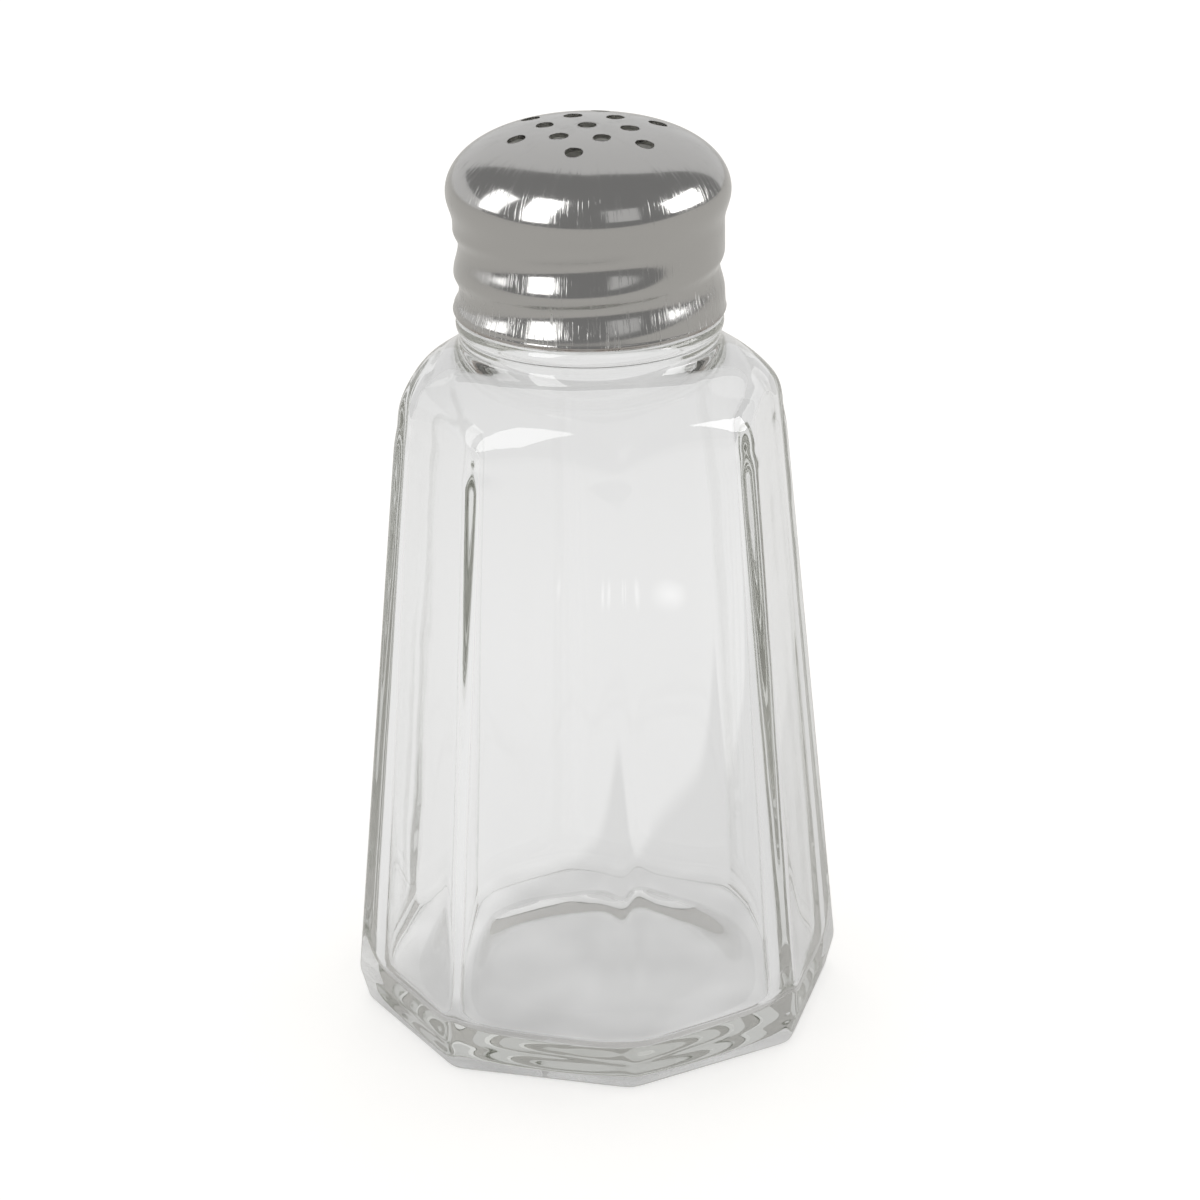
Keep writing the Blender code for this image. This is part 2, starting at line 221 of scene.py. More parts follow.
def shoulder_dome(heights, foot, foot_radius, neck_radius):
    """Radius of a dome that turns in from its foot and flares into a neck."""
    share = (heights - foot) / SHOULDER_RISE
    turned_in = np.copysign(np.abs(share)**SHOULDER_FULLNESS, share)
    dome = foot_radius - (foot_radius - neck_radius) * turned_in
    return soft_max(dome, np.full_like(dome, neck_radius), SOFT_REACH * SHOULDER_FILLET)


print("halfway along an eased step:", ease(0.5))

# %% Rings of the jar's outside
POLE_SHARE = 0.04               # the ring next to the axis, beside the point that closes the skin
HEEL_BAND = 1.0 * MM            # rows crowd together this near the heel's bend
ARCH_BAND = 3.0 * MM            # and from this far under the shoulder
foot_flats = BASE_FLATS - HEEL_INSET
rings = []                      # flats, crispness, round limit, height
bearing = foot_flats - FOOT_RADIUS - BEARING_WIDTH
for share in np.linspace(POLE_SHARE, 1, 8):
    rings.append((WIDE, CRISPNESS, share * (bearing - PUSH_UP_SLOPE), PUSH_UP))
for share in after(0, 1, 24):
    slope = bearing - PUSH_UP_SLOPE * (1 - share)
    rings.append((WIDE, CRISPNESS, slope, PUSH_UP * (1 - ease(share))))
for turn in arc(0, 90, 8):
    drawn_in = HEEL_INSET + FOOT_RADIUS * (1 - math.sin(turn))
    rings.append((BASE_FLATS - drawn_in, CRISPNESS, WIDE, FOOT_RADIUS * (1 - math.cos(turn))))
heights = np.concatenate([after(FOOT_RADIUS, HEEL_HEIGHT - HEEL_BAND, 6),
                          after(HEEL_HEIGHT - HEEL_BAND, HEEL_HEIGHT + HEEL_BAND, 12),
                          after(HEEL_HEIGHT + HEEL_BAND, SHOULDER_FOOT - ARCH_BAND, 32),
                          after(SHOULDER_FOOT - ARCH_BAND, SHOULDER_TOP, 56)])
heel = foot_flats + (heights - FOOT_RADIUS) * HEEL_INSET / (HEEL_HEIGHT - FOOT_RADIUS)
panels = BASE_FLATS - LEAN * (heights - HEEL_HEIGHT)
shoulder = shoulder_dome(heights, SHOULDER_FOOT, SHOULDER_RADIUS, ROOT_RADIUS)
flats = soft_min(panels, heel, HEEL_SOFTNESS)
rings += [(f, CRISPNESS, s, h) for f, s, h in zip(flats, shoulder, heights)]
print(len(rings), "rings outside")

# %% [markdown]
# ## The jar: collar, neck and hollow
# Above the shoulder the jar is round: a bead that the cap's rim sits over, a neck and a rolled lip.
# The hollow follows the outside at a distance, and the glass thickens towards the base, which is
# what makes a diner shaker heavy and hard to knock over.  The hollow could be an offset of the
# outside, but hot glass settles: its edges get rounder lower down and run into the floor in a full
# corner.  So the hollow has rings of its own, with a crispness that falls towards the floor.

# %% Rings of the collar, the neck and the lip
NECK_RADIUS = 13.0 * MM
LIP_RADIUS = 0.9 * MM
BORE_RADIUS = 10.0 * MM
bead = COLLAR_HEIGHT / 2
for turn in arc(-90, 90, 14)[1:]:
    rings.append((WIDE, CRISPNESS, COLLAR_RADIUS - COLLAR_GROOVE * (1 - math.cos(turn)),
                  SHOULDER_TOP + bead + bead * math.sin(turn)))
neck_foot = len(rings)
for height in np.linspace(COLLAR_TOP, LIP_TOP - LIP_RADIUS, 41):
    rings.append((WIDE, CRISPNESS, NECK_RADIUS, height))
neck_head = len(rings)
for turn in arc(0, 90, 8)[1:]:
    rings.append((WIDE, CRISPNESS, NECK_RADIUS - LIP_RADIUS * (1 - math.cos(turn)),
                  LIP_TOP - LIP_RADIUS * (1 - math.sin(turn))))
for turn in arc(90, 0, 8):
    rings.append((WIDE, CRISPNESS, BORE_RADIUS + LIP_RADIUS * (1 - math.cos(turn)),
                  LIP_TOP - LIP_RADIUS * (1 - math.sin(turn))))
print(neck_head - neck_foot, "rings on the neck")

# %% Rings of the hollow and its floor
WALL_AT_BASE = 3.0 * MM
WALL_AT_TOP = 2.6 * MM
INNER_SHOULDER_DROP = 1.0 * MM
FLOOR_THICKNESS = 3.6 * MM
FLOOR_CORNER = 2.6 * MM
CORNER_FULLNESS = 0.8           # 1 is a quarter circle, less is fuller
INNER_CRISPNESS = 70.0          # of the edges in the hollow at its top
HOLLOW_CRISPNESS = 28.0         # of the same edges halfway down
FLOOR_CRISPNESS = 18.0          # and at the floor, where the glass settles rounder
BORE_BAND = 2.0 * MM            # rows crowd together from this far above the bore's foot
inner_foot = SHOULDER_FOOT - INNER_SHOULDER_DROP
bore_foot = inner_foot + SHOULDER_RISE
corner_top = FLOOR_THICKNESS + FLOOR_CORNER
heights = np.concatenate([after(LIP_TOP - LIP_RADIUS, bore_foot + BORE_BAND, 8),
                          after(bore_foot + BORE_BAND, inner_foot - ARCH_BAND, 64),
                          after(inner_foot - ARCH_BAND, corner_top, 32)])
wall = WALL_AT_BASE + (WALL_AT_TOP - WALL_AT_BASE) * (heights - HEEL_HEIGHT) / PANEL_HEIGHT
inner_flats = BASE_FLATS - LEAN * (heights - HEEL_HEIGHT) - wall
neck = shoulder_dome(heights, inner_foot, SHOULDER_RADIUS - WALL_AT_TOP, BORE_RADIUS)
crispness = np.interp(heights, [corner_top, (corner_top + inner_foot) / 2, inner_foot],
                      [FLOOR_CRISPNESS, HOLLOW_CRISPNESS, INNER_CRISPNESS])
rings += [(f, c, n, h) for f, c, n, h in zip(inner_flats, crispness, neck, heights)]
floor_start = len(rings)
corner_turns = arc(0, 90, 24)[1:]
disc_shares = after(1, POLE_SHARE, 15)
for turn in corner_turns:
    drawn_in = FLOOR_CORNER * (1 - max(math.cos(turn), 0)**CORNER_FULLNESS)
    sunk = FLOOR_CORNER * math.sin(turn)**CORNER_FULLNESS
    rings.append((inner_flats[-1] - drawn_in, FLOOR_CRISPNESS, WIDE, corner_top - sunk))
floor_flats = rings[-1][0]
for share in disc_shares:
    rings.append((floor_flats * share, FLOOR_CRISPNESS, WIDE, FLOOR_THICKNESS))
rings = np.array(rings)
print(len(rings), "rings in all")

# %% [markdown]
# ## The jar: one skin through the rings
# The rings become a mesh when each one is divided into the same number of points and neighbours are
# joined by quads, which is a loft.  The points crowd together at the eight edges, where light bends
# most.  Two things differ round a ring, so they are added point by point: the thread, a ridge that
# climbs round the neck, and the floor of the hollow, which settles unevenly as the glass cools.
# The sizes of each ring are stored on the mesh as attributes, for the next step to read.

# %% A loft, and the angles round a ring
FLAT_STEPS = 10
EDGE_STEPS = 22
EDGE_ZONE = math.radians(7.0)   # to each side of an edge


def loft(name, points):
    """Closed skin through rings of points, with a pole at each end."""
    count, around = points.shape[:2]
    index = np.arange(count * around).reshape(count, around)
    beside = np.roll(index, -1, axis=1)
    quads = np.stack([index[:-1], beside[:-1], beside[1:], index[1:]], axis=-1).reshape(-1, 4)
    first, last = count * around, count * around + 1
    poles = [points[0].mean(axis=0), points[-1].mean(axis=0)]
    fans = [(first, beside[0, i], index[0, i]) for i in range(around)]
    fans += [(last, index[-1, i], beside[-1, i]) for i in range(around)]
    mesh = bpy.data.meshes.new(name)
    mesh.from_pydata(np.vstack([points.reshape(-1, 3), poles]), [], quads.tolist() + fans)
    mesh.shade_smooth()
    return mesh


flat_end = HALF_PANEL - EDGE_ZONE
offsets = np.concatenate([np.linspace(-flat_end, flat_end, FLAT_STEPS + 1)[:-1],
                          np.linspace(flat_end, 2 * HALF_PANEL - flat_end, EDGE_STEPS + 1)[:-1]])
around = np.concatenate([2 * HALF_PANEL * panel + offsets for panel in range(PANELS)])
print(len(around), "points round each ring")

# %% Add the thread and join the rings into a closed blank
THREAD_PITCH = 4.85 * MM
THREAD_TURNS = 1.3
THREAD_FADE = 0.1               # turns over which the ridge rises and dies away
THREAD_LIFT = 2.2 * MM
THREAD_START = COLLAR_TOP + THREAD_LIFT
THREAD_HEIGHT = 0.3 * MM
THREAD_WIDTH = 2.2 * MM
FLOOR_WAVE = 0.3 * MM           # how unevenly the floor of the hollow settles
FLOOR_WAVES = ((0.7, 2, 0.9), (0.3, 3, 2.4))    # share, waves in one turn, where they start
limit = np.repeat(rings[:, 2:3], len(around), axis=1)
lift = rings[neck_foot:neck_head, 3:4]
first_turn = (around / (2 * math.pi)) % 1.0
for turn in (first_turn, first_turn + 1):
    fade = ease(turn / THREAD_FADE) * ease((THREAD_TURNS - turn) / THREAD_FADE)
    off = np.clip(np.abs(lift - THREAD_START - THREAD_PITCH * turn) / THREAD_WIDTH, 0, 0.5)
    limit[neck_foot:neck_head] += THREAD_HEIGHT * fade * np.cos(math.pi * off)**2
reach = np.minimum(limit, rings[:, 0:1])
blank_points = np.stack([reach * np.cos(around), reach * np.sin(around),
                         np.repeat(rings[:, 3:4], len(around), axis=1)], axis=-1)
floor_shares = np.concatenate([np.sin(corner_turns), disc_shares])
settled = sum(share * np.sin(waves * around + start) for share, waves, start in FLOOR_WAVES)
blank_points[floor_start:, :, 2] += FLOOR_WAVE * np.outer(floor_shares, settled)
jar_mesh = loft("jar_blank", blank_points)
sizes = {"flats": np.repeat(rings[:, 0], len(around)),
         "crispness": np.repeat(rings[:, 1], len(around)), "limit": limit.ravel()}
for name, values in sizes.items():      # the two poles stay on the axis
    attribute = jar_mesh.attributes.new(name, "FLOAT", "POINT")
    ends = values[[0, -1]] if name != "limit" else [0.0, 0.0]
    attribute.data.foreach_set("value", np.concatenate([values, ends]).astype(np.float32))
jar_blank = bpy.data.objects.new("jar_blank", jar_mesh)
bpy.context.scene.collection.objects.link(jar_blank)
print("blank has", len(jar_mesh.polygons), "faces")

# %% [markdown]
# ## Glass
# Soda-lime glass is the common clear bottle glass.  It is pressed hot and its skin is
# fire-polished, so it is glossy and almost colourless, and only the thick base shows a grey-green
# tint.  The mould leaves slow waves in the surface, which bend what is seen through it.  A tinted
# Base Color would stain thin and thick glass alike, so the tint comes from absorption inside the
# glass instead, and thick parts look deeper.  The waves are only some hundredths of a millimetre
# high, so a bump is enough for them.

# %% Pressed soda-lime glass
# To the eye: sharp reflections on a colourless skin, a slight wobble in what is behind it, and a
# grey-green depth.
WAVE_SIZE = 9.0 * MM
WAVE_HEIGHT = 0.2 * MM
WAVE_STRENGTH = 0.25
MOST_HAZE = 0.02                # roughness where the skin is least polished
HAZE_FROM, HAZE_TO = 0.3, 0.7   # levels of the noise between which it dulls
TINT_DENSITY = 20.0             # for each metre of glass
glass = bpy.data.materials.new("pressed_soda_lime_glass")
glass.use_nodes = True
tree = glass.node_tree
shader = tree.nodes["Principled BSDF"]
shader.inputs["Base Color"].default_value = colour("#FFFFFF")
shader.inputs["Transmission Weight"].default_value = 1.0
shader.inputs["IOR"].default_value = 1.52
place = add_node(tree, "ShaderNodeTexCoord")
waves = add_node(tree, "ShaderNodeTexNoise", {
    "Vector": place.outputs["Object"], "Scale": 1 / WAVE_SIZE, "Detail": 1.0, "Roughness": 0.4})
bump = add_node(tree, "ShaderNodeBump", {
    "Height": waves, "Strength": WAVE_STRENGTH, "Distance": WAVE_HEIGHT})
tree.links.new(bump.outputs["Normal"], shader.inputs["Normal"])
haze = add_node(tree, "ShaderNodeMapRange", {
    "Value": waves, "From Min": HAZE_FROM, "From Max": HAZE_TO,
    "To Min": 0.0, "To Max": MOST_HAZE})
tree.links.new(haze.outputs["Result"], shader.inputs["Roughness"])
tint = add_node(tree, "ShaderNodeVolumeAbsorption", {
    "Color": colour("#DFE0DB"), "Density": TINT_DENSITY})
tree.links.new(tint.outputs["Volume"], tree.nodes["Material Output"].inputs["Volume"])
print("made", glass.name)

# %% [markdown]
# ## The jar: pressing the panels
# The eight panels follow a rule, so Geometry Nodes can apply it to every point of the blank at
# once.  A flat panel's distance from the axis, at an angle from its middle, is its flats size over
# the cosine of that angle.  The nearest panel and its two neighbours are blended by a power of
# their cosines: the higher the power, the crisper the edge.  The result is cut off by the round
# shoulder wherever that is narrower, and the soft corner between the two makes the arch at the top
# of each panel.  Each point keeps its angle and height.

# %% Geometry Nodes: press the panels
press = bpy.data.node_groups.new("press_panels", "GeometryNodeTree")
sockets = press.interface
sockets.new_socket("Geometry", in_out="INPUT", socket_type="NodeSocketGeometry")
panel_input = sockets.new_socket("Panels", in_out="INPUT", socket_type="NodeSocketFloat")
soft_input = sockets.new_socket("Softness", in_out="INPUT", socket_type="NodeSocketFloat")
finish_input = sockets.new_socket("Material", in_out="INPUT", socket_type="NodeSocketMaterial")
sockets.new_socket("Geometry", in_out="OUTPUT", socket_type="NodeSocketGeometry")
given = add_node(press, "NodeGroupInput")
named = {name: add_node(press, "GeometryNodeInputNamedAttribute", {"Name": name}, data_type="FLOAT")
         for name in sizes}
place = add_node(press, "ShaderNodeSeparateXYZ", {0: add_node(press, "GeometryNodeInputPosition")})
terms = {"x": place.outputs["X"], "y": place.outputs["Y"], "count": given.outputs["Panels"],
         "softness": given.outputs["Softness"], **named}
steps = [("angle", "ARCTAN2", "y", "x"),
         ("half", "DIVIDE", math.pi, "count"),
         ("minus_half", "MULTIPLY", "half", -1.0),
         ("whole", "ADD", "half", "half"),
         ("here", "WRAP", "angle", "half", "minus_half"),
         ("before", "ADD", "here", "whole"),
         ("after", "SUBTRACT", "here", "whole"),
         ("here_cos", "COSINE", "here"),
         ("before_cos", "COSINE", "before"),
         ("after_cos", "COSINE", "after"),
         ("here_part", "POWER", "here_cos", "crispness"),
         ("before_part", "POWER", "before_cos", "crispness"),
         ("after_part", "POWER", "after_cos", "crispness"),
         ("two_parts", "ADD", "here_part", "before_part"),
         ("all_parts", "ADD", "two_parts", "after_part"),
         ("inverse", "DIVIDE", 1.0, "crispness"),
         ("blend", "POWER", "all_parts", "inverse"),
         ("panel", "DIVIDE", "flats", "blend"),
         ("reach", "SMOOTH_MIN", "panel", "limit", "softness"),
         ("angle_cos", "COSINE", "angle"),
         ("angle_sin", "SINE", "angle"),
         ("new_x", "MULTIPLY", "reach", "angle_cos"),
         ("new_y", "MULTIPLY", "reach", "angle_sin")]
for name, operation, *parts in steps:
    inputs = {i: terms.get(part, part) for i, part in enumerate(parts)}
    terms[name] = add_node(press, "ShaderNodeMath", inputs, operation=operation)
moved = add_node(press, "ShaderNodeCombineXYZ", {
    0: terms["new_x"], 1: terms["new_y"], 2: place.outputs["Z"]})
pressed = add_node(press, "GeometryNodeSetPosition", {
    0: given.outputs["Geometry"], "Position": moved})
real = add_node(press, "GeometryNodeRealizeInstances", {0: pressed})
painted = add_node(press, "GeometryNodeSetMaterial", {
    0: real, "Material": given.outputs["Material"]})
add_node(press, "NodeGroupOutput", {0: painted})
print("press_panels has", len(press.nodes), "nodes")


# %% Press the jar and keep it as a plain mesh
def run_tree(source, group, values, name):
    """Run a Geometry Nodes tree on an object and return the result as a plain object."""
    modifier = source.modifiers.new(group.name, "NODES")
    modifier.node_group = group
    for socket, value in values.items():
        modifier[socket.identifier] = value
    evaluated = source.evaluated_get(bpy.context.evaluated_depsgraph_get())
    mesh = bpy.data.meshes.new_from_object(evaluated)
    mesh.name = name
    bpy.data.objects.remove(source)
    piece = bpy.data.objects.new(name, mesh)
    bpy.context.scene.collection.objects.link(piece)
    box = [round(side / MM, 2) for side in piece.dimensions]
    print(name, len(mesh.polygons), "faces, box in mm", box)
    return piece


jar = run_tree(jar_blank, press, {panel_input: float(PANELS), finish_input: glass,
                                  soft_input: SOFT_REACH * SHOULDER_SOFTNESS}, "pressed_glass_jar")
for name in sizes:
    jar.data.attributes.remove(jar.data.attributes[name])

# %% [markdown]
# ## Plated metal
# The cap is thin steel, drawn deep in a press and plated bright.  Plating is a mirror, but drawing
# leaves fine upright lines in the metal and years of handling leave more, so a lamp's reflection
# breaks into streaks.  The streaks come from noise that is stretched along the height of the cap.
# Fingers dull the plating in patches, most of all near the rim where the cap is gripped, so a
# second, coarser noise says where the scratches and the haze are strong.  The folded edge has a
# brown stain, and the inside of the cap was never polished.  The inside is also painted much
# lighter than the plate, a painted light for the light that hardly reaches under the dome.  An
# image texture could hold all this, but noise in real sizes needs no file.

# %% Chrome-plated drawn steel: lines and handled patches
# To the eye: a grey mirror with soft edges to its reflections, broken into bright and dark streaks.
DRAW_LINE = 0.22 * MM           # width of one line, coarser than real ones so that it shows
STRETCH = 0.05                  # a line is twenty times as tall as it is wide
LINE_RADIUS = 14.6 * MM         # of the skirt, so that a line has its width there
PATCH_SIZE = 2.5 * MM
chrome = bpy.data.materials.new("chrome_plated_drawn_steel")
chrome.use_nodes = True
tree = chrome.node_tree
shader = tree.nodes["Principled BSDF"]
shader.inputs["Metallic"].default_value = 1.0
place = add_node(tree, "ShaderNodeTexCoord")
level_part = add_node(tree, "ShaderNodeVectorMath", {0: place.outputs["Object"], 1: (1, 1, 0)},
                      operation="MULTIPLY")
outward = add_node(tree, "ShaderNodeVectorMath", {0: level_part}, operation="NORMALIZE")
climb = add_node(tree, "ShaderNodeVectorMath", {0: place.outputs["Object"], 1: (0, 0, STRETCH)},
                 operation="MULTIPLY")
along = add_node(tree, "ShaderNodeVectorMath", {
    0: outward, 1: (LINE_RADIUS, LINE_RADIUS, 0), 2: climb}, operation="MULTIPLY_ADD")
lines = add_node(tree, "ShaderNodeTexNoise", {
    "Vector": along, "Scale": 1 / DRAW_LINE, "Detail": 3.0})
patches = add_node(tree, "ShaderNodeTexNoise", {
    "Vector": place.outputs["Object"], "Scale": 1 / PATCH_SIZE, "Detail": 3.0})
print("a draw line is", round(DRAW_LINE / STRETCH / MM, 1), "mm tall")

# %% Chrome-plated drawn steel: roughness and scratches
GRIP_HEIGHT = 6 * MM            # above the rim, where handling wears most
WEAR_ABOVE = 0.3                # of the wear at the rim
LEAST_WEAR = 0.2
BRIGHT_HAZE = 0.11              # roughness of untouched plating
HANDLED_HAZE = 0.2
SCRATCH_HAZE = 0.35             # added in a scratch
SCRATCH_DEPTH = 0.025 * MM
INSIDE_HAZE = 0.4               # added inside the cap
PATCH_FROM, PATCH_TO = 0.35, 0.65       # levels of the noise where wear starts and is full
SCRATCH_FROM, SCRATCH_TO = 0.54, 0.64   # and where a scratch does
height = add_node(tree, "ShaderNodeSeparateXYZ", {0: place.outputs["Object"]})
low = add_node(tree, "ShaderNodeMapRange", {
    "Value": height.outputs["Z"], "From Min": RIM_HEIGHT, "From Max": RIM_HEIGHT + GRIP_HEIGHT,
    "To Min": 1.0, "To Max": WEAR_ABOVE})
patch = add_node(tree, "ShaderNodeMapRange", {
    "Value": patches, "From Min": PATCH_FROM, "From Max": PATCH_TO, "To Min": LEAST_WEAR})
worn = add_node(tree, "ShaderNodeMath", {0: patch, 1: low}, operation="MULTIPLY")
scratch = add_node(tree, "ShaderNodeMapRange", {
    "Value": lines, "From Min": SCRATCH_FROM, "From Max": SCRATCH_TO})
scratch = add_node(tree, "ShaderNodeMath", {0: scratch, 1: worn}, operation="MULTIPLY")
haze = add_node(tree, "ShaderNodeMapRange", {
    "Value": worn, "To Min": BRIGHT_HAZE, "To Max": HANDLED_HAZE})
rough = add_node(tree, "ShaderNodeMath", {0: scratch, 1: SCRATCH_HAZE, 2: haze},
                 operation="MULTIPLY_ADD")
inside = add_node(tree, "ShaderNodeAttribute", attribute_name="inside")
rough = add_node(tree, "ShaderNodeMath", {0: inside.outputs["Fac"], 1: INSIDE_HAZE, 2: rough},
                 operation="MULTIPLY_ADD")
tree.links.new(rough.outputs["Value"], shader.inputs["Roughness"])
bump = add_node(tree, "ShaderNodeBump", {
    "Height": scratch, "Strength": 1.0, "Distance": SCRATCH_DEPTH})
tree.links.new(bump.outputs["Normal"], shader.inputs["Normal"])
print("roughness from", BRIGHT_HAZE, "to", round(HANDLED_HAZE + SCRATCH_HAZE, 2), "in a scratch")

# %% Chrome-plated drawn steel: colour, the stain at the rim and the painted lighter inside
STAIN_FULL = 0.1 * MM           # above the rim
STAIN_END = 0.6 * MM
STAIN_STRENGTH = 0.7
edge = add_node(tree, "ShaderNodeMapRange", {
    "Value": height.outputs["Z"], "From Min": RIM_HEIGHT + STAIN_FULL,
    "From Max": RIM_HEIGHT + STAIN_END, "To Min": STAIN_STRENGTH, "To Max": 0.0})
stain = add_node(tree, "ShaderNodeMath", {0: edge, 1: patch}, operation="MULTIPLY")
plate = add_node(tree, "ShaderNodeMix", {
    "Factor": stain, 6: colour("#BDBCBA"), 7: colour("#7E6552")}, data_type="RGBA")
# Painted light: the inside of the cap is painted near-white, standing in for light that hardly
# reaches under the dome.
plate = add_node(tree, "ShaderNodeMix", {
    "Factor": inside.outputs["Fac"], 6: plate.outputs[2], 7: colour("#ECEBE7")}, data_type="RGBA")
tree.links.new(plate.outputs[2], shader.inputs["Base Color"])
print("made", chrome.name)

# %% [markdown]
# ## The cap: drawn, necked and rolled
# A press draws the cap from a disc: a mushroom dome, a straight skirt, and a folded edge so that no
# raw metal shows.  Rolling then squeezes a thread into the skirt from outside, to match the one on
# the glass.  A lathe shape with a Screw modifier would make the dome, but the groove climbs as it
# goes round, so the cap is a loft like the jar, and every ring is pushed in by the groove's depth
# there.

# %% Sizes of the cap
SHEET = 0.45 * MM
UNDERCUT_HEIGHT = 3.4 * MM
SKIRT_HEIGHT = LIP_TOP - RIM_HEIGHT + UNDERCUT_HEIGHT
DOME_RADIUS = CAP_WALL_RADIUS + DOME_OVERHANG
DOME_HEIGHT = cap_high.z - RIM_HEIGHT - SKIRT_HEIGHT
DOME_FULLNESS = 2.6             # 2 is an ellipse, more is boxier
RIM_FLARE = 0.15 * MM
FLARE_HEIGHT = 2.5 * MM
RIM_RADIUS = CAP_WALL_RADIUS + RIM_FLARE
HEM_HEIGHT = 1.2 * MM
HEM_THICKNESS = 0.9 * MM
print("dome", round(DOME_HEIGHT / MM, 2), "mm over a skirt of", round(SKIRT_HEIGHT / MM, 2), "mm")

# %% The rolled thread
GROOVE_DEPTH = 0.55 * MM
GROOVE_BELOW = 3.1 * MM         # long flank under the groove's deepest line
GROOVE_ABOVE = 1.75 * MM        # short flank over it
GROOVE_PITCH = THREAD_PITCH
GROOVE_TURNS = 1.78
GROOVE_LEAD_IN = 0.28           # turns over which it deepens
GROOVE_LEAD_OUT = 0.16          # and runs out
GROOVE_START_HEIGHT = 1.05 * MM
GROOVE_START_ANGLE = math.radians(65.0)


def groove_depth(angles, height):
    """How far the rolled thread pushes the skirt in; height is counted from the rim."""
    depth = np.zeros_like(angles)
    first_turn = ((angles - GROOVE_START_ANGLE) / (2 * math.pi)) % 1.0
    for turn in (first_turn, first_turn + 1):
        fade = ease(turn / GROOVE_LEAD_IN) * ease((GROOVE_TURNS - turn) / GROOVE_LEAD_OUT)
        off = height - GROOVE_START_HEIGHT - GROOVE_PITCH * turn
        off = np.clip(off / np.where(off > 0, GROOVE_ABOVE, GROOVE_BELOW), -1, 1)
        depth += GROOVE_DEPTH * fade * np.cos(math.pi / 2 * off)**2
    return np.minimum(depth, GROOVE_DEPTH) * ease((height - HEM_HEIGHT / 2) / HEM_HEIGHT)


print("the groove climbs", round(GROOVE_PITCH * GROOVE_TURNS / MM, 2), "mm")

# %% The cap's section, from the inside of the dome round the hem to its top
straight_top = SKIRT_HEIGHT - UNDERCUT_HEIGHT
outer = []                      # radius, height above the rim
for height in np.linspace(HEM_HEIGHT / 2, straight_top, 81):
    flare = RIM_FLARE * max(1 - height / FLARE_HEIGHT, 0)**2
    outer.append((CAP_WALL_RADIUS + flare, height))
for share in after(0, 1, 24):
    outer.append((CAP_WALL_RADIUS + DOME_OVERHANG * (1 - math.cos(math.pi * share)) / 2,
                  straight_top + UNDERCUT_HEIGHT * share))
for turn in arc(90, 0, 64)[1:-1]:
    outer.append((DOME_RADIUS * math.sin(turn)**(2 / DOME_FULLNESS),
                  SKIRT_HEIGHT + DOME_HEIGHT * math.cos(turn)))
outer = np.array(outer)
along = np.gradient(outer, axis=0)
along /= np.linalg.norm(along, axis=1, keepdims=True)
inner = outer + SHEET * np.stack([-along[:, 1], along[:, 0]], axis=-1)
profile = [(r, h, g) for (r, h), g in zip(inner[::-1], outer[::-1, 1]) if g > HEM_HEIGHT]
inside_rings = len(profile)
hem = HEM_THICKNESS / 2
profile.append((RIM_RADIUS - HEM_THICKNESS, HEM_HEIGHT, 0.0))
for turn in arc(-90, 90, 12):
    profile.append((RIM_RADIUS - hem + hem * math.sin(turn), hem * (1 - math.cos(turn)), 0.0))
profile += [(r, h, h) for r, h in outer if h > hem]
print("the section has", len(profile), "points,", inside_rings, "of them inside")

# %% Loft the cap
CAP_COLUMNS = 240
angles = np.linspace(0, 2 * math.pi, CAP_COLUMNS, endpoint=False)
cap_points = []
for radius, height, groove_height in profile:
    reach = radius - groove_depth(angles, groove_height)
    cap_points.append(np.stack([reach * np.cos(angles), reach * np.sin(angles),
                                np.full_like(angles, RIM_HEIGHT + height)], axis=-1))
cap_blank = bpy.data.objects.new("cap_blank", loft("cap_blank", np.array(cap_points)))
inside = cap_blank.data.attributes.new("inside", "FLOAT", "POINT")
is_inside = np.repeat(np.arange(len(profile)) < inside_rings, CAP_COLUMNS)
inside.data.foreach_set("value", np.concatenate([is_inside, [1, 0]]).astype(np.float32))
bpy.context.scene.collection.objects.link(cap_blank)
print("cap blank has", len(cap_blank.data.polygons), "faces")

# %% [markdown]
# ## The cap: punching the holes
# Thirteen holes make a six-pointed star: one in the middle, six round it and six further out.  They
# repeat, so Geometry Nodes place a punch on each point of the star and cut them all from the dome.
# The punches are a little uneven, as worn tools leave them.  A Boolean works best on flat faces,
# and the quads of a dome are slightly bent, so both solids are split into triangles before the cut.
# That leaves a clean closed mesh.

# %% Geometry Nodes: the star of punches
HOLE_RADIUS = 1.0 * MM
HOLE_SPACING = 4.6 * MM
HOLE_TURN = math.radians(4.4)
PUNCH_SIDES = 32
PUNCH_LENGTH = 12 * MM
punch = bpy.data.node_groups.new("punch_holes", "GeometryNodeTree")
sockets = punch.interface
sockets.new_socket("Geometry", in_out="INPUT", socket_type="NodeSocketGeometry")
spacing_input, radius_input, turn_input, height_input = [
    sockets.new_socket(name, in_out="INPUT", socket_type="NodeSocketFloat")
    for name in ("Spacing", "Hole radius", "Turn", "Height")]
metal_input = sockets.new_socket("Material", in_out="INPUT", socket_type="NodeSocketMaterial")
sockets.new_socket("Geometry", in_out="OUTPUT", socket_type="NodeSocketGeometry")
given = add_node(punch, "NodeGroupInput")
middle = add_node(punch, "GeometryNodeMeshLine", {"Count": 1})
inner_six = add_node(punch, "GeometryNodeMeshCircle", {
    "Vertices": 6, "Radius": given.outputs["Spacing"]})
root_three = add_node(punch, "ShaderNodeMath", {0: given.outputs["Spacing"], 1: math.sqrt(3)},
                      operation="MULTIPLY")
outer_six = add_node(punch, "GeometryNodeMeshCircle", {"Vertices": 6, "Radius": root_three})
turned = add_node(punch, "GeometryNodeTransform", {0: outer_six, "Rotation": (0, 0, math.pi / 6)})
star = add_node(punch, "GeometryNodeJoinGeometry")
for part in (middle, inner_six, turned):
    punch.links.new(part.outputs[0], star.inputs[0])
spin = add_node(punch, "ShaderNodeCombineXYZ", {2: given.outputs["Turn"]})
